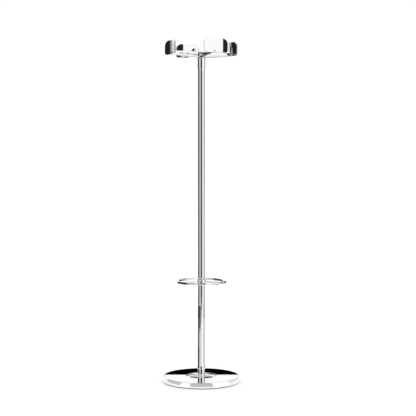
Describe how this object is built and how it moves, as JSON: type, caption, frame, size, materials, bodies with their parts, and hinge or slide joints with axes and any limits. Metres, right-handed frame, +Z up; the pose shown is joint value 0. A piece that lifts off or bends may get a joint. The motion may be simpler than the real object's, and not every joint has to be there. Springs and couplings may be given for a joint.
{
  "type": "standing coat rack",
  "caption": "Chromed free-standing coat rack: weighted round base with a drip dish, slim post with an umbrella ring, and a revolving head of arms with curved coat plates.",
  "frame": {"origin": "on the floor under the middle of the post, at the underside of the rubber foot ring", "axes": "+Z up along the post, -Y towards the front of the rack, +X to the right as seen from the front"},
  "size_m": [0.378, 0.378, 1.7],
  "materials": {
    "chrome": "polished bright chrome plate with faint wipe marks",
    "plain_steel": "turned and zinc-plated steel",
    "cast_iron": "black-painted rough casting",
    "rubber": "matte black moulded rubber",
    "white_nylon": "turned natural nylon",
    "black_nylon": "black nylon washer"
  },
  "bodies": {
    "stand": {"base_cover": "chrome", "drip_dish": "chrome", "post_tube": "chrome", "base_sleeve": "chrome", "umbrella_ring": "chrome", "ring_collar": "chrome", "ring_spoke_1": "chrome", "ring_spoke_2": "chrome", "ring_spoke_3": "chrome", "base_bolt": "plain_steel", "base_washer": "plain_steel", "post_bottom_insert": "plain_steel", "post_top_insert": "plain_steel", "spindle": "plain_steel", "retaining_washer": "plain_steel", "retaining_nut": "plain_steel", "ring_grub_screw": "plain_steel", "ballast_plate": "cast_iron", "rubber_foot_ring": "rubber", "thrust_washer": "white_nylon"},
    "head": {"head_sleeve": "chrome", "arm_cross": "chrome", "lower_bush": "white_nylon", "upper_bush": "white_nylon", "hub_cap": "chrome", "coat_plate_right": "chrome", "coat_plate_rear": "chrome", "coat_plate_left": "chrome", "coat_plate_front": "chrome", "plate_washer_right": "black_nylon", "plate_washer_rear": "black_nylon", "plate_washer_left": "black_nylon", "plate_washer_front": "black_nylon", "plate_screw_right": "chrome", "plate_screw_rear": "chrome", "plate_screw_left": "chrome", "plate_screw_front": "chrome"}
  },
  "joints": [
    {"name": "head_spin", "type": "hinge", "parent": "stand", "child": "head", "pos_m": [0, 0, 1.6], "axis": [0, 0, 1], "continuous": true}
  ]
}
